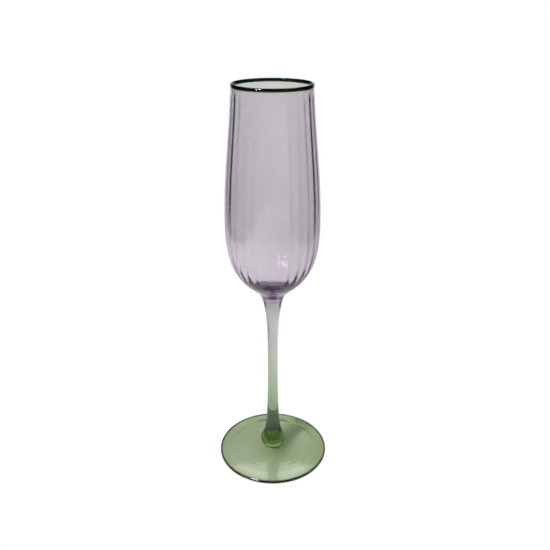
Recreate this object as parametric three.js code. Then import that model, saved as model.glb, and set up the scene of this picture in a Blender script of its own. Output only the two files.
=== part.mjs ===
// Champagne flute in two-colour glass, standing on its foot, +Z up, millimetres.
// The origin is the centre of the foot's resting plane.
//
// The glass is made hot, in five gathers that are stuck to one another:
//   foot      a flat green disc with a rounded edge and a shallow recess under it
//   knop      a green ball between the foot and the stem
//   stem      a solid pulled rod, flared at both ends
//   bowl      a lilac blown cup with optic ribs inside and a thick bottom
//   rim_band  a dark green bead wrapped round the lip
import * as THREE from 'three';

// Heights above the table
const TOTAL_HEIGHT = 240;
const RIM_BAND_HEIGHT = 2;
const BELLY_HEIGHT = 160;
const SHOULDER_HEIGHT = 118;
const INNER_CORNER_HEIGHT = 125.5;
const INNER_BOTTOM_HEIGHT = 122;
const STEM_TOP_HEIGHT = 112;
const STEM_BOTTOM_HEIGHT = 15;
const KNOP_CENTRE_HEIGHT = 9.4;

// Radii
const RIM_BAND_RADIUS = 22.35;
const RIM_BAND_WIDTH = 1.6;
const LIP_RADIUS = 22.2;
const BELLY_RADIUS = 27.6;
const SHOULDER_RADIUS = 8.7;
const INNER_CORNER_RADIUS = 12;
const STEM_WAIST_RADIUS = 3.02;
const STEM_TOP_FLARE = 2.85;
const STEM_BOTTOM_FLARE = 2.55;
const STEM_TOP_FLARE_LENGTH = 11;
const STEM_BOTTOM_FLARE_LENGTH = 14;
const KNOP_RADIUS = 8;
const FOOT_RADIUS = 35.5;

// Glass thicknesses
const WALL = 1.5;
const LIP_WALL = 1.1;
const FOOT_EDGE_THICKNESS = 2.4;
const FOOT_CENTRE_THICKNESS = 3;
const RECESS_DEPTH = 0.6;
const RECESS_RADIUS = 31;

// The optic ribs that the mould leaves inside the bowl
const RIB_COUNT = 28;
const RIB_HEIGHT = 0.25;
const RIB_FADE_LENGTH = 6;

// The gathers keep this clearance where they are fused
const FUSE_GAP = 0.3;

// Fineness: two segments per rib give every rib one crest and one hollow
const BOWL_SEGMENTS = 2 * RIB_COUNT;
const STEM_SEGMENTS = 28;
const CURVE_STEPS = 9;

const lilacGlass = new THREE.MeshStandardMaterial({ color: '#c6bfc9', roughness: 0.04, metalness: 0 });
const stemGlass = new THREE.MeshStandardMaterial({ color: '#aeb8a4', roughness: 0.04, metalness: 0 });
const knopGlass = new THREE.MeshStandardMaterial({ color: '#5f8a4a', roughness: 0.04, metalness: 0 });
const footGlass = new THREE.MeshStandardMaterial({ color: '#92a67c', roughness: 0.05, metalness: 0 });
const rimGlass = new THREE.MeshStandardMaterial({ color: '#3f7a22', roughness: 0.08, metalness: 0 });

// A profile point is (radius, height).
function point(radius, height) {
  return new THREE.Vector2(radius, height);
}

// Points along one cubic curve, without its first point, so that curves can be chained.
function curveAfterStart(start, handleA, handleB, end, steps = CURVE_STEPS) {
  return new THREE.CubicBezierCurve(start, handleA, handleB, end).getPoints(steps).slice(1);
}

// Points on an arc round a centre, from one angle to another, both in radians.
function arc(centre, radius, startAngle, endAngle, steps) {
  const points = [];
  for (let i = 0; i <= steps; i += 1) {
    const angle = startAngle + ((endAngle - startAngle) * i) / steps;
    points.push(point(centre.x + radius * Math.cos(angle), centre.y + radius * Math.sin(angle)));
  }
  return points;
}

// Turns a profile round the flute's axis and stands it upright.
function turned(profile, segments) {
  const geometry = new THREE.LatheGeometry(profile, segments);
  geometry.rotateX(Math.PI / 2);
  return geometry;
}

function namedMesh(name, geometry, material) {
  const mesh = new THREE.Mesh(geometry, material);
  mesh.name = name;
  return mesh;
}

// The disc: its recess leaves a flat ring to stand on, and its top rises a little to the middle.
function foot() {
  const edgeRadius = FOOT_EDGE_THICKNESS / 2;
  const edgeCentre = point(FOOT_RADIUS - edgeRadius, edgeRadius);
  const profile = [
    point(0, RECESS_DEPTH),
    point(RECESS_RADIUS - RECESS_DEPTH, RECESS_DEPTH),
    point(RECESS_RADIUS, 0),
    ...arc(edgeCentre, edgeRadius, -Math.PI / 2, Math.PI / 2, 7),
    point(KNOP_RADIUS, FOOT_CENTRE_THICKNESS),
    point(0, FOOT_CENTRE_THICKNESS),
  ];
  return namedMesh('foot', turned(profile, BOWL_SEGMENTS), footGlass);
}

// The ball, cut flat where the foot and the stem are fused to it.
function knop() {
  const lowCut = FOOT_CENTRE_THICKNESS + FUSE_GAP - KNOP_CENTRE_HEIGHT;
  const highCut = STEM_BOTTOM_HEIGHT - FUSE_GAP - KNOP_CENTRE_HEIGHT;
  const lowAngle = Math.asin(lowCut / KNOP_RADIUS);
  const highAngle = Math.asin(highCut / KNOP_RADIUS);
  const profile = [
    point(0, KNOP_CENTRE_HEIGHT + lowCut),
    ...arc(point(0, KNOP_CENTRE_HEIGHT), KNOP_RADIUS, lowAngle, highAngle, 12),
    point(0, KNOP_CENTRE_HEIGHT + highCut),
  ];
  return namedMesh('knop', turned(profile, STEM_SEGMENTS), knopGlass);
}

// A pulled rod thins away from each end as an exponential.
function stemRadius(height) {
  const belowTop = (STEM_TOP_HEIGHT - height) / STEM_TOP_FLARE_LENGTH;
  const aboveBottom = (height - STEM_BOTTOM_HEIGHT) / STEM_BOTTOM_FLARE_LENGTH;
  const flares = STEM_TOP_FLARE * Math.exp(-belowTop) + STEM_BOTTOM_FLARE * Math.exp(-aboveBottom);
  return STEM_WAIST_RADIUS + flares;
}

function stem() {
  const steps = 24;
  const length = STEM_TOP_HEIGHT - STEM_BOTTOM_HEIGHT;
  const profile = [point(0, STEM_BOTTOM_HEIGHT)];
  for (let i = 0; i <= steps; i += 1) {
    // Half a cosine puts more of the steps in the flares.
    const height = STEM_BOTTOM_HEIGHT + (length * (1 - Math.cos((Math.PI * i) / steps))) / 2;
    profile.push(point(stemRadius(height), height));
  }
  profile.push(point(0, STEM_TOP_HEIGHT));
  return namedMesh('stem', turned(profile, STEM_SEGMENTS), stemGlass);
}

// The ribs are full height down the whole wall, and end just under the lip.
function ribFade(height) {
  const belowLip = TOTAL_HEIGHT - RIM_BAND_HEIGHT - height;
  return Math.min(1, belowLip / RIB_FADE_LENGTH);
}

// Moves the inner wall of the turned bowl in and out, one crest and one hollow to each rib.
function addOpticRibs(geometry, innerStart, pointsPerTurn) {
  const position = geometry.attributes.position;
  for (let i = 0; i < position.count; i += 1) {
    const radius = Math.hypot(position.getX(i), position.getY(i));
    const onInnerWall = i % pointsPerTurn >= innerStart;
    if (onInnerWall && radius > SHOULDER_RADIUS) {
      const segment = Math.floor(i / pointsPerTurn);
      const side = segment % 2 === 0 ? 1 : -1;
      const offset = (side * RIB_HEIGHT * ribFade(position.getZ(i))) / 2;
      const scale = (radius + offset) / radius;
      position.setX(i, position.getX(i) * scale);
      position.setY(i, position.getY(i) * scale);
    }
  }
}

// The cup: up the outside from the stem to the lip, then down the inside to the thick bottom.
function bowl() {
  const bottom = STEM_TOP_HEIGHT + FUSE_GAP;
  const lip = TOTAL_HEIGHT - RIM_BAND_HEIGHT - FUSE_GAP;
  const neck = point(stemRadius(STEM_TOP_HEIGHT), bottom);
  const shoulder = point(SHOULDER_RADIUS, SHOULDER_HEIGHT);
  const belly = point(BELLY_RADIUS, BELLY_HEIGHT);
  const outerLip = point(LIP_RADIUS, lip);
  const innerLip = point(LIP_RADIUS - LIP_WALL, lip);
  const innerBelly = point(BELLY_RADIUS - WALL, BELLY_HEIGHT);
  const innerCorner = point(INNER_CORNER_RADIUS, INNER_CORNER_HEIGHT);
  const innerBottom = point(0, INNER_BOTTOM_HEIGHT);
  const outside = [
    point(0, bottom),
    neck,
    ...curveAfterStart(neck, point(6.4, 114.2), point(7.4, 116.5), shoulder, 5),
    ...curveAfterStart(shoulder, point(14, 124), point(BELLY_RADIUS, 128), belly),
    ...curveAfterStart(belly, point(BELLY_RADIUS, 190), point(23.6, 212), outerLip),
  ];
  const inside = [
    innerLip,
    ...curveAfterStart(innerLip, point(22.5, 212), point(innerBelly.x, 190), innerBelly),
    ...curveAfterStart(innerBelly, point(innerBelly.x, 136), point(19, 130), innerCorner),
    ...curveAfterStart(innerCorner, point(8, 122.6), point(5, INNER_BOTTOM_HEIGHT), innerBottom, 6),
  ];
  const profile = [...outside, ...inside];
  const geometry = turned(profile, BOWL_SEGMENTS);
  addOpticRibs(geometry, outside.length, profile.length);
  return namedMesh('bowl', geometry, lilacGlass);
}

// The wrapped bead is a ring of round-cornered section that closes on itself.
function rimBand() {
  const corner = RIM_BAND_WIDTH / 2;
  const middle = RIM_BAND_RADIUS - corner;
  const low = point(middle, TOTAL_HEIGHT - RIM_BAND_HEIGHT + corner);
  const high = point(middle, TOTAL_HEIGHT - corner);
  const section = [
    ...arc(low, corner, -Math.PI, 0, 6),
    ...arc(high, corner, 0, Math.PI, 6),
  ];
  section.push(section[0].clone());
  return namedMesh('rim_band', turned(section, BOWL_SEGMENTS), rimGlass);
}

const group = new THREE.Group();
group.add(foot(), knop(), stem(), bowl(), rimBand());

export default group;
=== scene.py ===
# %% [markdown]
# # A champagne flute in two colours of glass
#
# The flute is five gathers of hot glass stuck to one another: a green foot, a
# green ball called the knop, a pulled stem, a lilac bowl, and a dark green
# band wrapped round the lip. Everything about its look comes from light that
# goes through it, so this lesson makes each gather as one closed, fine
# surface, gives its inside a colour, and leaves the bending of the light to
# the renderer.

# %% Load the frame
import math

import bpy
import numpy as np
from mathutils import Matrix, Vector


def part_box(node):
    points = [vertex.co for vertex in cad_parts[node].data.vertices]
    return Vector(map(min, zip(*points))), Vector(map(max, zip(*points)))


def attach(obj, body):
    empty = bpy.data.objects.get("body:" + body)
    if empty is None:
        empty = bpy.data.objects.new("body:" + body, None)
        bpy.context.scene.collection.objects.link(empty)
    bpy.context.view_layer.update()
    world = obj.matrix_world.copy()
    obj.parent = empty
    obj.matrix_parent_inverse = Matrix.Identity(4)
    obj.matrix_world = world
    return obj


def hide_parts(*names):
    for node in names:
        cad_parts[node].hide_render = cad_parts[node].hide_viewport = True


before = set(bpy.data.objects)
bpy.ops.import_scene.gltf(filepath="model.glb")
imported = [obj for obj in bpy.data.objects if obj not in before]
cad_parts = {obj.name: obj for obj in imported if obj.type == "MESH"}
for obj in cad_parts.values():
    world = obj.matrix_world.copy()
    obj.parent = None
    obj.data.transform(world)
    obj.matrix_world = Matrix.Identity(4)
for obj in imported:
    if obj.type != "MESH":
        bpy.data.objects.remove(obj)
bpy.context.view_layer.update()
MM = 0.001

# %% [markdown]
# The camera comes first. It looks slightly down at the flute, about 45 cm
# from its foot, the way a person looks at a glass on a table, and that short
# distance is why the foot shows as a wide oval while the rim is seen nearly
# edge on. The lens, the place and the tilt go together: a longer lens from
# further away would give the same size and a different oval.

# %% Set up the camera
CAMERA_DISTANCE = 343.5 * MM
CAMERA_HEIGHT = 283.8 * MM
TILT_DOWN = math.radians(24.25)
TURN_RIGHT = math.radians(0.234)
LENS_MM = 41.2

lens = bpy.data.cameras.new("camera")
lens.lens = LENS_MM
lens.sensor_width = 36
lens.clip_start = 0.01
lens.clip_end = 50
camera = bpy.data.objects.new("camera", lens)
camera.location = (0, -CAMERA_DISTANCE, CAMERA_HEIGHT)
camera.rotation_euler = (math.pi / 2 - TILT_DOWN, 0, -TURN_RIGHT)
bpy.context.scene.collection.objects.link(camera)
bpy.context.scene.camera = camera
print("The camera stands", round(CAMERA_HEIGHT / MM), "mm above the table")

# %% [markdown]
# Every gather is round, so each is an outline turned about the upright axis.
# Blender's Screw modifier or its Spin tool could do that, but the bowl also
# has ribs that differ from angle to angle, so the surface is worked out as a
# grid: one direction runs round the axis, and the other runs along the
# outline. Outlines are drawn in millimetres, as (radius, height).

# %% Lines and curves for the outlines
def straight(start, end, steps):
    """Evenly spaced points on a line, its last point left out so that pieces chain."""
    t = np.arange(steps)[:, None] / steps
    return (1 - t) * np.array(start, float) + t * np.array(end, float)


def cubic(start, handle_a, handle_b, end, steps):
    """Points along a cubic curve, its last point left out so that pieces chain.

    Each point is the four control points weighted by the cubic Bernstein
    polynomials of t, for t from 0 up to 1.
    """
    t = np.arange(steps)[:, None] / steps
    a, b, c, d = (np.array(p, float) for p in (start, handle_a, handle_b, end))
    return (1 - t) ** 3 * a + 3 * (1 - t) ** 2 * t * b + 3 * (1 - t) * t**2 * c + t**3 * d


def arc(centre, radius, start_angle, end_angle, steps):
    """Points at one distance from a centre, both ends included. Angles in radians."""
    angle = np.linspace(start_angle, end_angle, steps + 1)
    return np.stack([centre[0] + radius * np.cos(angle), centre[1] + radius * np.sin(angle)], 1)


# %% Faces of the grid
def grid_faces(segments, rows, closed):
    """Four-cornered faces between neighbouring angles and neighbouring rows.

    Point (i, j) of the grid has the number i * rows + j. The angles wrap
    round, and the rows wrap too when the outline closes on itself.
    """
    i, j = np.meshgrid(np.arange(segments), np.arange(rows if closed else rows - 1), indexing="ij")
    after = (i + 1) % segments
    up = (j + 1) % rows
    corners = [i * rows + j, after * rows + j, after * rows + up, i * rows + up]
    return np.stack(corners, -1).reshape(-1, 4)


def pole_faces(segments, rows, row, pole, upward):
    """A fan of triangles from one row of the grid to a point on the axis."""
    here = np.arange(segments) * rows + row
    after = np.roll(here, -1)
    pair = [here, after] if upward else [after, here]
    return np.stack([np.full(segments, pole), *pair], 1)


# %% Turning an outline into a surface
SHARP_ANGLE = math.radians(35)
LEVEL = 0.999        # a face is level when its normal is this upright
NEAR = 0.005         # mm


def face_values(mesh, name):
    """One vector of each face, such as its centre, as a row of an array."""
    values = np.zeros(len(mesh.polygons) * 3)
    mesh.polygons.foreach_get(name, values)
    return values.reshape(-1, 3)


def turned(name, outline, segments, fused_heights, shape=None):
    """A closed surface, in metres, from an outline of (radius, height) in mm.

    A point is (r cos a, r sin a, z) for every angle a and outline point (r, z),
    after shape(a, r, z) has had its say on r. An outline that starts and ends
    on the axis gets one point at each pole, and any other closes on itself.
    The attribute "fused" is 1 on level faces at a fused height, and 0 elsewhere.
    """
    closed = outline[0, 0] > 0
    inner = outline if closed else outline[1:-1]
    rows = len(inner)
    angle = np.arange(segments) * 2 * np.pi / segments
    a, r = np.meshgrid(angle, inner[:, 0], indexing="ij")
    z = np.broadcast_to(inner[:, 1], r.shape)
    if shape is not None:
        r = shape(a, r, z)
    points = np.stack([r * np.cos(a), r * np.sin(a), z], -1).reshape(-1, 3)
    faces = grid_faces(segments, rows, closed).tolist()
    if not closed:
        poles = [(0, 0, outline[0, 1]), (0, 0, outline[-1, 1])]
        faces += pole_faces(segments, rows, 0, len(points), False).tolist()
        faces += pole_faces(segments, rows, rows - 1, len(points) + 1, True).tolist()
        points = np.vstack([points, poles])
    mesh = bpy.data.meshes.new(name)
    mesh.from_pydata((points * MM).tolist(), [], faces)
    mesh.shade_smooth()
    mesh.set_sharp_from_angle(angle=SHARP_ANGLE)
    height = face_values(mesh, "center")[:, 2:] / MM
    level = np.abs(face_values(mesh, "normal")[:, 2]) > LEVEL
    fused = level & (np.abs(height - np.array(fused_heights)) < NEAR).any(axis=1)
    mesh.attributes.new("fused", "FLOAT", "FACE").data.foreach_set("value", fused.astype(float))
    piece = bpy.data.objects.new(name, mesh)
    bpy.context.scene.collection.objects.link(piece)
    print(name, "has", len(faces), "faces,", int(fused.sum()), "of them fused")
    return piece


# %% [markdown]
# The sizes that the gathers share come from the CAD nodes' boxes, so the
# flute is the same size here as there. On the real flute one gather is melted
# into the next. Here they nearly touch: a gap of a few hundredths of a
# millimetre keeps their faces apart. `turned` marks the faces that meet, and
# the glass, further down, makes them unseen.

# %% Shared sizes, in millimetres
FUSE = 0.03
FOOT_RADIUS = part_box("foot")[1].x / MM
FOOT_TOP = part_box("foot")[1].z / MM
KNOP_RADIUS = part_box("knop")[1].x / MM
STEM_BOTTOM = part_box("stem")[0].z / MM
STEM_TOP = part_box("stem")[1].z / MM
BELLY_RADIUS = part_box("bowl")[1].x / MM
RIM_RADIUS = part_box("rim_band")[1].x / MM
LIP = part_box("rim_band")[0].z / MM
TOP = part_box("rim_band")[1].z / MM
print("Radii: foot", FOOT_RADIUS, "knop", KNOP_RADIUS, "belly", BELLY_RADIUS, "rim", RIM_RADIUS)

# %% [markdown]
# ## The foot
#
# A blob of green glass is dropped on the knop and pressed flat with a wooden
# paddle while the rod turns. That leaves a disc with a round edge and, under
# it, a shallow recess, so that it stands on a ring and doesn't rock. The
# paddle also leaves faint rings, which are made here as ripples of a few
# microns in the outline itself, because bump alone would not bend the light
# at the far side of the disc.

# %% The foot
FOOT_SEGMENTS = 256
EDGE_THICKNESS = 2.4
RECESS_DEPTH = 0.6
RECESS_RADIUS = 31.0
RECESS_SLOPE = 5.0
FLAT_RADIUS = 9
RIPPLE = 0.004
RIPPLE_LENGTH = 4.6
RIPPLE_END = 33
RIPPLE_RISE = 6
RIPPLE_FALL = 4


def foot_outline():
    """Out under the recess, over the ring it stands on, round the edge and back over the top."""
    edge = EDGE_THICKNESS / 2
    edge_centre = (FOOT_RADIUS - edge, edge)
    slope_top = (RECESS_RADIUS - RECESS_SLOPE, RECESS_DEPTH)
    ring_start = (RECESS_RADIUS, 0)
    flat_start = (FLAT_RADIUS, FOOT_TOP)
    outline = np.vstack([
        straight((0, RECESS_DEPTH), slope_top, 60),
        cubic(slope_top, (slope_top[0] + 2, RECESS_DEPTH), (RECESS_RADIUS - 2, 0), ring_start, 16),
        straight(ring_start, (edge_centre[0], 0), 4),
        arc(edge_centre, edge, -math.pi / 2, math.pi / 2 - 0.03, 32),
        cubic((edge_centre[0] - 0.4, EDGE_THICKNESS + 0.01), (26, 2.7), (16, FOOT_TOP), flat_start, 60),
        straight(flat_start, (0, FOOT_TOP), 8),
        [(0, FOOT_TOP)],
    ])
    radius = outline[:, 0]
    rising = np.clip((radius - FLAT_RADIUS) / RIPPLE_RISE, 0, 1)
    falling = np.clip((RIPPLE_END - radius) / RIPPLE_FALL, 0, 1)
    outline[:, 1] += RIPPLE * (rising * falling) * (np.sin(2 * np.pi * radius / RIPPLE_LENGTH) - 1)
    return outline


foot = turned("foot_glass", foot_outline(), FOOT_SEGMENTS, [-1])
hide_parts("foot")

# %% [markdown]
# ## The knop
#
# The knop is a ball of the same green, squeezed between the foot and the
# stem. It works as a lens, and shows the room upside down. A ball of glass is
# hardly ever perfectly round, but its eye catches any facet, so the surface
# has many more steps than its size needs.

# %% The knop
KNOP_CENTRE = 9.4
KNOP_SEGMENTS = 160


def knop_outline():
    """A ball with a flat where each neighbour is fused to it."""
    low = FOOT_TOP + FUSE
    high = STEM_BOTTOM - FUSE
    low_angle = math.asin((low - KNOP_CENTRE) / KNOP_RADIUS)
    high_angle = math.asin((high - KNOP_CENTRE) / KNOP_RADIUS)
    ball = arc((0, KNOP_CENTRE), KNOP_RADIUS, low_angle, high_angle, 80)
    return np.vstack([
        straight((0, low), ball[0], 6),
        ball,
        straight(ball[-1], (0, high), 6)[1:],
        [(0, high)],
    ])


knop = turned("knop_glass", knop_outline(), KNOP_SEGMENTS, [FOOT_TOP + FUSE, STEM_BOTTOM - FUSE])
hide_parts("knop")

# %% [markdown]
# ## The stem
#
# The stem is pulled from the hot bottom of the bowl like toffee. A pulled rod
# thins away from each end as an exponential, which two terms give exactly.
# A loft between circles would need a ring for every bend.

# %% The stem
STEM_SEGMENTS = 160
STEM_ROWS = 240
WAIST = 3.02
TOP_FLARE = 2.85
BOTTOM_FLARE = 2.55
TOP_FLARE_LENGTH = 11.0
BOTTOM_FLARE_LENGTH = 14.0


def stem_radius(height):
    """The waist, and a flare at each end that dies away as an exponential."""
    top = TOP_FLARE * np.exp(-(STEM_TOP - height) / TOP_FLARE_LENGTH)
    bottom = BOTTOM_FLARE * np.exp(-(height - STEM_BOTTOM) / BOTTOM_FLARE_LENGTH)
    return WAIST + top + bottom


def stem_outline():
    """Straight out at the bottom, up the flared side, and straight in at the top."""
    height = np.linspace(STEM_BOTTOM, STEM_TOP, STEM_ROWS)
    side = np.stack([stem_radius(height), height], 1)
    return np.vstack([
        straight((0, STEM_BOTTOM), side[0], 6),
        side,
        straight(side[-1], (0, STEM_TOP), 6)[1:],
        [(0, STEM_TOP)],
    ])


stem = turned("stem_glass", stem_outline(), STEM_SEGMENTS, [STEM_BOTTOM, STEM_TOP])
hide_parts("stem")

# %% [markdown]
# ## The bowl
#
# The lilac bubble is first blown into a ribbed mould and then blown on in the
# open. The outside goes smooth, and the ribs stay as gentle waves inside,
# which is called optic glass. Each wave is a weak lens, so the ribs are real
# shape: cosine waves round the inner wall, which run up to a few millimetres
# under the lip and are never quite alike. The bottom is thick, where the
# bubble sat on the rod.

# %% The bowl
RIBS = 28
BOWL_SEGMENTS = RIBS * 16
RIB_DEPTH = 0.12
RIB_PHASE = 0.2
RIB_FADE_LENGTH = 6
RIB_FLOOR_RADIUS = 12
RIB_UNEVEN_SLOW = 0.2
RIB_UNEVEN_FAST = 0.1
WALL = 1.5
LIP_WALL = 1.1
BELLY = 160.0
SHOULDER = (8.7, 118.0)
INNER_CORNER = (12, 125.5)
INNER_BOTTOM = 122.0
LIP_RADIUS = 22.2


def bowl_outside():
    """Out under the bottom, round the shoulder and the belly, and up to the lip."""
    bottom = STEM_TOP + FUSE
    neck = (stem_radius(STEM_TOP), bottom)
    belly = (BELLY_RADIUS, BELLY)
    return np.vstack([
        straight((0, bottom), neck, 6),
        cubic(neck, (6.4, 114.2), (7.4, 116.5), SHOULDER, 16),
        cubic(SHOULDER, (14, 124), (BELLY_RADIUS, 128), belly, 40),
        cubic(belly, (BELLY_RADIUS, 190), (23.6, 212), (LIP_RADIUS, LIP - FUSE), 30),
    ])


def bowl_inside():
    """Across the lip, down the wall and in over the thick bottom."""
    inner_belly = BELLY_RADIUS - WALL
    lip = (LIP_RADIUS - LIP_WALL, LIP - FUSE)
    return np.vstack([
        straight((LIP_RADIUS, LIP - FUSE), lip, 3),
        cubic(lip, (22.5, 212), (inner_belly, 190), (inner_belly, BELLY), 40),
        cubic((inner_belly, BELLY), (inner_belly, 136), (19, 130), INNER_CORNER, 50),
        cubic(INNER_CORNER, (8, 122.6), (5, INNER_BOTTOM), (0, INNER_BOTTOM), 30),
        [(0, INNER_BOTTOM)],
    ])


INNER_START = len(bowl_outside()) + 2


def ribbed(angle, radius, height):
    """Moves the inner wall in and out by a cosine, one wave to each rib.

    The waves fade out just under the lip and towards the middle of the
    bottom, and two slow cosines make them deeper in some places than others.
    """
    inside = np.arange(radius.shape[1]) >= INNER_START
    below_lip = np.clip((LIP - height) / RIB_FADE_LENGTH, 0, 1)
    fade = below_lip**2 * (3 - 2 * below_lip) * np.clip(radius / RIB_FLOOR_RADIUS, 0, 1)
    depth_share = 1 + RIB_UNEVEN_SLOW * np.cos(2 * angle + 1) + RIB_UNEVEN_FAST * np.cos(5 * angle)
    return radius - inside * RIB_DEPTH * fade * depth_share * np.cos(RIBS * angle + RIB_PHASE)


bowl_outline = np.vstack([bowl_outside(), bowl_inside()])
bowl = turned("bowl_glass", bowl_outline, BOWL_SEGMENTS, [STEM_TOP + FUSE, LIP - FUSE], ribbed)
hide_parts("bowl")

# %% [markdown]
# ## The rim band
#
# A thread of deep green glass is wound once round the lip and melted on. Its
# section is a drop: flat under, where it sits on the lip, and round above.
# It is so strongly coloured that two millimetres look nearly black from the
# side, and grass green only where the light comes straight through.

# %% The rim band
RIM_SEGMENTS = 320
THREAD_WAVE = 0.03
DROP_OVERHANG = 0.25
DROP_LOW = 0.7
DROP_TUCK = 0.9        # how far the round sides turn in under the drop, in radians


def rim_outline():
    """A closed section: flat on the lip, up the outside, over the top and down the inside."""
    inner_edge = LIP_RADIUS - LIP_WALL
    corner = (RIM_RADIUS - inner_edge + DROP_OVERHANG) / 2
    middle = RIM_RADIUS - corner
    low = LIP + DROP_LOW
    return np.vstack([
        [(inner_edge, LIP), (LIP_RADIUS, LIP)],
        arc((middle, low), corner, -DROP_TUCK, 0, 8),
        arc((middle, TOP - corner), corner, 0, math.pi, 24),
        arc((middle, low), corner, math.pi, math.pi + DROP_TUCK, 8),
    ])


def hand_wound(angle, radius, height):
    """Narrows the thread a little, by two slow waves, as a thread laid by hand is."""
    wave = 2 - np.cos(3 * angle + 0.6) - np.cos(7 * angle)
    return radius - THREAD_WAVE / 4 * wave * (radius > LIP_RADIUS)


rim = turned("rim_glass", rim_outline(), RIM_SEGMENTS, [LIP], hand_wound)
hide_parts("rim_band")

# %% [markdown]
# ## A short way to write materials
#
# A node tree is easier to read as sums than as boxes and wires. One small
# class holds a socket: adding, taking away or multiplying two of them makes
# the Math node that does it, and its method `add` makes any other kind of
# node, with its settings first and then the values or wires of its sockets.

# %% Sockets that can be used in sums
class Wire:
    """A socket of a node tree. Sums of wires and numbers become Math nodes."""

    def __init__(self, tree, socket=None):
        self.tree = tree
        self.socket = socket

    def add(self, kind, settings, inputs, output=0):
        """Adds a node: its settings, then its sockets' values or wires. Gives one output."""
        node = self.tree.nodes.new(kind)
        stops = settings.pop("stops", [])
        for name, value in settings.items():
            setattr(node, name, value)
        for number, (position, colour) in enumerate(stops):
            ends = node.color_ramp.elements
            stop = ends[number] if number < 2 else ends.new(position)
            stop.position = position
            stop.color = (*colour, 1)
        for name, value in inputs.items():
            if isinstance(value, Wire):
                self.tree.links.new(value.socket, node.inputs[name])
            else:
                node.inputs[name].default_value = value
        return Wire(self.tree, node.outputs[output] if node.outputs else None)

    def size(self):
        """The wire's value without its sign."""
        return self.add("ShaderNodeMath", {"operation": "ABSOLUTE"}, {0: self})

    def math(self, operation, first, second):
        """One Math node of the given operation."""
        return self.add("ShaderNodeMath", {"operation": operation}, {0: first, 1: second})

    def __add__(self, other):
        return self.math("ADD", self, other)

    def __radd__(self, other):
        return self.math("ADD", other, self)

    def __sub__(self, other):
        return self.math("SUBTRACT", self, other)

    def __rsub__(self, other):
        return self.math("SUBTRACT", other, self)

    def __mul__(self, other):
        return self.math("MULTIPLY", self, other)

    def __rmul__(self, other):
        return self.math("MULTIPLY", other, self)


def empty_tree(owner):
    """The node tree of a material or a world, with every node taken out."""
    owner.use_nodes = True
    owner.node_tree.nodes.clear()
    return Wire(owner.node_tree)


def between(wire, low, high, new_low, new_high):
    """Carries a value from one range to another, and holds it at the ends."""
    inputs = {"Value": wire, "From Min": low, "From Max": high, "To Min": new_low, "To Max": new_high}
    return wire.add("ShaderNodeMapRange", {}, inputs)


MIX_A = 6
MIX_B = 7
MIX_RESULT = 2


def mixed(factor, first, second):
    """Mixes two colours by a factor between 0 and 1."""
    inputs = {0: factor, MIX_A: first, MIX_B: second}
    return factor.add("ShaderNodeMix", {"data_type": "RGBA"}, inputs, MIX_RESULT)


# %% [markdown]
# ## What all five kinds of glass share
#
# Real glass has colour in its depth, so the thick bottom is darker than the
# thin wall. Volume Absorption gives that. But these gathers are cased: much
# of the colour sits in a skin on clearer glass, and that is why a 16 mm knop
# is not black while a wall of 1.5 mm is plainly tinted. The skin is the Base
# Color, which the light meets each time it goes in or out.
#
# Where two gathers are melted together there is no surface. The face is still
# there in the mesh, so its Alpha is 0. It stays in the same material, because
# Cycles ends a volume only at a face of the material that began it.
#
# Hand-made glass is never optically flat either. Long, slow waves called
# cords go into the bump, and faint wipe marks into the roughness. Anything
# stronger would look like pressed glass.

# %% The glass
GLASS_IOR = 1.51
DARKEST_CHANNEL = 1.25        # keeps the volume's darkest colour a little above black
CORDS_LOW = 0.3
CORDS_HIGH = 0.7
WIPES_PER_METRE = 90
WIPED_LOW = 0.55
WIPED_HIGH = 0.85
HAZE = 0.02


def noise(tree, place, scale, detail, squash=(1, 1, 1)):
    """Soft noise, in waves per metre, squashed or stretched along an axis."""
    stretched = tree.add("ShaderNodeMapping", {}, {"Vector": place, "Scale": squash})
    return tree.add("ShaderNodeTexNoise", {}, {"Vector": stretched, "Scale": scale, "Detail": detail})


def glass(name, skin, per_metre, cord_depth=0.0006, cord_scale=60, squash=(1, 1, 0.05)):
    """Glass with a coloured skin, depth of colour, slow cords and a faint haze.

    skin is called with the tree, the place and the cords, and gives a colour.
    per_metre is how much of red, green and blue is lost in each metre. Volume
    Absorption loses density * (1 - colour), so both are worked out from it.
    """
    material = bpy.data.materials.new(name)
    tree = empty_tree(material)
    place = tree.add("ShaderNodeTexCoord", {}, {}, "Object")
    cords = noise(tree, place, cord_scale, 2, squash)
    wiped = noise(tree, place, WIPES_PER_METRE, 4)
    shader = tree.add("ShaderNodeBsdfPrincipled", {}, {
        "Base Color": skin(tree, place, cords),
        "Roughness": between(wiped, WIPED_LOW, WIPED_HIGH, 0.0, HAZE),
        "Alpha": 1 - tree.add("ShaderNodeAttribute", {"attribute_name": "fused"}, {}, "Fac"),
        "Normal": tree.add("ShaderNodeBump", {}, {"Height": cords, "Distance": cord_depth * MM}),
        "IOR": GLASS_IOR,
        "Transmission Weight": 1.0,
    })
    density = max(per_metre) * DARKEST_CHANNEL
    colour = [1 - lost / density for lost in per_metre]
    depth = tree.add("ShaderNodeVolumeAbsorption", {}, {"Color": (*colour, 1), "Density": density})
    tree.add("ShaderNodeOutputMaterial", {}, {"Surface": shader, "Volume": depth})
    return material


def finish(piece, name, slot, skin, per_metre, **cords):
    """Gives a piece its glass and its body."""
    piece.data.materials.append(glass(name, skin, per_metre, **cords))
    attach(piece, "root")
    print(name, "loses", per_metre, "of red, green and blue per metre")


def uneven(thin, deep):
    """A skin that wanders between a thinner and a deeper coat, along the cords."""
    def skin(tree, place, cords):
        return mixed(between(cords, CORDS_LOW, CORDS_HIGH, 0, 1), (*thin, 1), (*deep, 1))
    return skin
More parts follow.
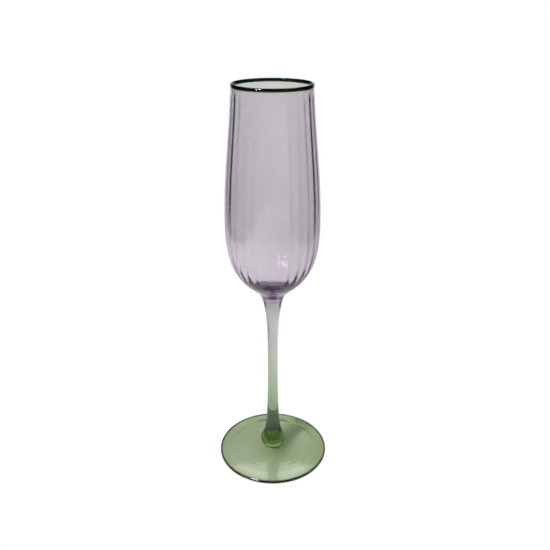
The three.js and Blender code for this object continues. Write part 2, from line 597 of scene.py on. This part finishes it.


# %% [markdown]
# The foot and the knop are the same bottle green. The knop is a second dip
# into the pot, so its skin is thicker. The rim's thread is solid colour from
# another pot, with no clear glass in it.

# %% Green glass
# Painted shade: the colour turns dark in a thin ring round the foot's edge.
EDGE_SHADE_START = 34.0
EDGE_SHADE_FADE = 0.7
PAINTED_EDGE_SHADE = (.16, .20, .12, 1)
FOOT_THIN = (.99, .99, .98, 1)
FOOT_DEEP = (.88, .92, .84, 1)


def foot_skin_and_edge_shade(tree, place, cords):
    """An uneven coat, and painted shade: a dark line of colour round the edge."""
    level = tree.add("ShaderNodeVectorMath", {"operation": "MULTIPLY"}, {0: place, 1: (1, 1, 0)})
    radius = tree.add("ShaderNodeVectorMath", {"operation": "LENGTH"}, {0: level}, "Value")
    coat = mixed(between(cords, CORDS_LOW, CORDS_HIGH, 0, 1), FOOT_THIN, FOOT_DEEP)
    # Painted shade: from this radius outwards the colour goes dark, standing in for the shade that
    # darkens the disc's rim.
    edge = between(radius, EDGE_SHADE_START * MM, (EDGE_SHADE_START + EDGE_SHADE_FADE) * MM, 0, 1)
    return mixed(edge, coat, PAINTED_EDGE_SHADE)


finish(foot, "green foot", "foot_glass", foot_skin_and_edge_shade, (58, 33, 100),
       cord_depth=0.006, cord_scale=45, squash=(1, 1, 1))
finish(knop, "green ball", "knop_glass", uneven((.90, .95, .82), (.80, .89, .68)), (70, 40, 120))
finish(rim, "deep green", "rim_glass", uneven((.26, .44, .12), (.18, .32, .08)), (4500, 1900, 7000),
       cord_depth=0.02, cord_scale=120, squash=(1, 1, 1))

# %% [markdown]
# The lilac wall carries a greyish skin of its own, and the bottom hardly any,
# where the purple of the depth shows by itself. The stem is pulled out of the
# same bottom, so it starts lilac, and runs into the green of the knop below.
# Its colours below about 31 mm are nearly black, which is painted shade: there
# the stem shows the dark foot and the shadow under it.

# %% Lilac glass and the two-colour stem
SKIN_START = 118.0
SKIN_FULL = 134.0
SMOKY_SHARE = 0.92
CORD_SHARE = 0.08
BARE = (.97, .97, .97, 1)
SMOKY = (.94, .93, .935, 1)


def lilac_skin(tree, place, cords):
    """Nearly bare at the bottom, smoky on the walls, and a little uneven along the cords."""
    height = tree.add("ShaderNodeSeparateXYZ", {}, {"Vector": place}, "Z")
    coat = between(height, SKIN_START * MM, SKIN_FULL * MM, 0.0, SMOKY_SHARE)
    return mixed(coat + between(cords, CORDS_LOW, CORDS_HIGH, 0, CORD_SHARE), BARE, SMOKY)


CORDS_MIDDLE = 0.5
COLOURS_WANDER = 4        # mm, up or down the stem along the cords
# The colours below 31 mm, nearly black, are painted shade; the rest is the glass's own green running
# into lilac.
STEM_COLOURS_AND_SHADE = [
    (15, (.06, .11, .03)),
    (25, (.16, .26, .10)),
    (31, (.38, .49, .28)),
    (42, (.46, .57, .36)),
    (56, (.57, .66, .49)),
    (72, (.68, .74, .63)),
    (88, (.76, .77, .77)),
    (106, (.98, .93, .98)),
]


def stem_skin_and_shade(tree, place, cords):
    """Green that runs into lilac, from the colour at a few heights in mm; the lowest colours are
    painted shade.
    """
    height = tree.add("ShaderNodeSeparateXYZ", {}, {"Vector": place}, "Z")
    place_of_colour = height + (cords - CORDS_MIDDLE) * COLOURS_WANDER * MM
    along = between(place_of_colour, STEM_BOTTOM * MM, STEM_TOP * MM, 0, 1)
    stops = [((mm - STEM_BOTTOM) / (STEM_TOP - STEM_BOTTOM), colour) for mm, colour in STEM_COLOURS_AND_SHADE]
    return tree.add("ShaderNodeValToRGB", {"stops": stops}, {"Fac": along})


finish(bowl, "lilac", "lilac_glass", lilac_skin, (54, 75, 46))
finish(stem, "pulled glass", "stem_glass", stem_skin_and_shade, (56, 54, 58))

# %% [markdown]
# ## The studio
#
# Glass has no look of its own: it shows the room. The room here is dark, with
# a white sweep of paper that starts under the flute and rises a little behind
# it, and a bright band of ceiling high at the back. Dark lines along the
# edges of glass come from the dark parts of the room, so an evenly bright
# room would lose them. The price is that the bowl looks nearly black from the
# sides and from the back, where it shows the rest of the room. The camera
# sees the sweep as clean white, which a Mix Shader driven by Is Camera Ray
# gives, while the glass sees its real falloff.

# %% The room
ROOM_DARK = 0.03
SWEEP_HALF_WIDTH = 0.50
SWEEP_SIDE_FADE = 0.12
SWEEP_FRONT_FADE = 0.3
SWEEP_TOP = 0.25
SWEEP_TOP_FULL = 0.1
SWEEP_BRIGHT = 1.1
CEILING_LOW = 0.80
CEILING_LOW_FADE = 0.06
CEILING_HIGH = 0.95
CEILING_HIGH_FADE = 0.03
CEILING_FRONT_FADE = 0.1
CEILING_BRIGHT = 3.2
SWEEP_TONES = [
    (0.0, (1.0, 1.0, 1.0)),
    (0.30, (1.0, 1.0, 1.0)),
    (0.365, (0.97, 0.97, 0.97)),
    (0.41, (0.86, 0.86, 0.86)),
    (0.44, (0.80, 0.80, 0.80)),
    (0.5, (0.85, 0.85, 0.85)),
]


def seen_white(tree, seen_through_glass):
    """White to the camera, and something else to every other ray."""
    white = tree.add("ShaderNodeEmission", {}, {"Strength": 1.0})
    to_camera = tree.add("ShaderNodeLightPath", {}, {}, "Is Camera Ray")
    return tree.add("ShaderNodeMixShader", {}, {0: to_camera, 1: seen_through_glass, 2: white})


room = bpy.data.worlds.new("room")
bpy.context.scene.world = room
tree = empty_tree(room)
direction = tree.add("ShaderNodeTexCoord", {}, {}, "Object")
back = tree.add("ShaderNodeSeparateXYZ", {}, {"Vector": direction}, "Y")
up = tree.add("ShaderNodeSeparateXYZ", {}, {"Vector": direction}, "Z")
tone = tree.add("ShaderNodeValToRGB", {"stops": SWEEP_TONES}, {"Fac": between(up, -1, 1, 0, 1)})
aside = tree.add("ShaderNodeSeparateXYZ", {}, {"Vector": direction}, "X").size()
sweep = between(aside, SWEEP_HALF_WIDTH, SWEEP_HALF_WIDTH + SWEEP_SIDE_FADE, 1, 0)
sweep = sweep * between(back, 0, SWEEP_FRONT_FADE, 0, 1) * between(up, SWEEP_TOP_FULL, SWEEP_TOP, 1, 0)
ceiling = between(up, CEILING_LOW, CEILING_LOW + CEILING_LOW_FADE, 0, 1)
ceiling = ceiling * between(up, CEILING_HIGH, CEILING_HIGH + CEILING_HIGH_FADE, 1, 0)
ceiling = ceiling * between(back, -CEILING_FRONT_FADE, CEILING_FRONT_FADE, 0, 1)
strength = ROOM_DARK + sweep * tone * SWEEP_BRIGHT + ceiling * CEILING_BRIGHT
glow = tree.add("ShaderNodeBackground", {}, {"Strength": strength})
tree.add("ShaderNodeOutputWorld", {}, {"Surface": seen_white(tree, glow)})

# %% [markdown]
# Two lamps join the bright ceiling. A wide, weak one hangs high behind the
# flute and lights the paper from there. A small, strong one stands in front
# on the left: it throws the knop's soft shadow over the foot and puts small
# bright spots in the bowl's bottom.

# %% The lights
def softbox(name, place, target, size, radiance):
    """A rectangular light of an even radiance, turned to its target."""
    light = bpy.data.lights.new(name, "AREA")
    light.shape = "RECTANGLE"
    light.size = size[0]
    light.size_y = size[1]
    light.energy = radiance * size[0] * size[1] * math.pi
    lamp = bpy.data.objects.new(name, light)
    lamp.location = place
    lamp.rotation_euler = (Vector(target) - Vector(place)).to_track_quat("-Z", "Y").to_euler()
    bpy.context.scene.collection.objects.link(lamp)
    print(name, "gives", round(light.energy, 2), "W")


FLUTE_FOOT = (0, 0, 0.05)
softbox("high behind", (0, 0.8, 0.95), FLUTE_FOOT, size=(0.5, 0.25), radiance=2.4)
softbox("front left", (-0.45, -0.5, 0.7), FLUTE_FOOT, size=(0.2, 0.2), radiance=75.0)

# %% [markdown]
# The floor is the flat part of the sweep. The sheet fades away between 0.3
# and 1.6 m from the flute, and reaches only 0.34 m to its left and right.
# Past it the room shows through. The fade is squared, because a straight one
# has an end that shows as a line in the bowl.

# %% The floor
FLOOR_SIDE = 18.0
FLOOR_BELOW = 0.05 * MM
PAPER_WHITE = 0.92
PAPER_ROUGHNESS = 0.9
PAPER_HALF_WIDTH = 0.34
PAPER_SIDE_FADE = 0.06
PAPER_FADES = 0.3
PAPER_GONE = 1.6

half = FLOOR_SIDE / 2
corners = [(-half, -half, -FLOOR_BELOW), (half, -half, -FLOOR_BELOW),
           (half, half, -FLOOR_BELOW), (-half, half, -FLOOR_BELOW)]
floor_mesh = bpy.data.meshes.new("floor")
floor_mesh.from_pydata(corners, [], [(0, 1, 2, 3)])
floor = bpy.data.objects.new("floor", floor_mesh)
bpy.context.scene.collection.objects.link(floor)

paper = bpy.data.materials.new("paper")
tree = empty_tree(paper)
place = tree.add("ShaderNodeTexCoord", {}, {}, "Object")
distance = tree.add("ShaderNodeVectorMath", {"operation": "LENGTH"}, {0: place}, "Value")
sheet = tree.add("ShaderNodeBsdfPrincipled", {}, {
    "Base Color": (PAPER_WHITE, PAPER_WHITE, PAPER_WHITE, 1),
    "Roughness": PAPER_ROUGHNESS,
    "Specular IOR Level": 0.0,
})
open_air = tree.add("ShaderNodeBsdfTransparent", {}, {})
aside = tree.add("ShaderNodeSeparateXYZ", {}, {"Vector": place}, "X").size()
wide = between(aside, PAPER_HALF_WIDTH, PAPER_HALF_WIDTH + PAPER_SIDE_FADE, 0, 1)
near = between(distance, PAPER_FADES, PAPER_GONE, 1, 0)
faded = 1 - near * near * (1 - wide)
fading = tree.add("ShaderNodeMixShader", {}, {0: faded, 1: sheet, 2: open_air})
tree.add("ShaderNodeOutputMaterial", {}, {"Surface": seen_white(tree, fading)})
floor.data.materials.append(paper)

# %% [markdown]
# Light has to pass many surfaces before it leaves the flute: front wall, back
# wall, foot, and again after every reflection. With Blender's usual limits
# those paths end early and the thick parts turn black, so the limits go up.

# %% Light paths and colour
MANY_BOUNCES = 32
scene = bpy.context.scene
scene.view_settings.view_transform = "Standard"
scene.cycles.max_bounces = MANY_BOUNCES
scene.cycles.transmission_bounces = MANY_BOUNCES
scene.cycles.transparent_max_bounces = MANY_BOUNCES
scene.cycles.glossy_bounces = MANY_BOUNCES // 2
print("Light may bounce", MANY_BOUNCES, "times")
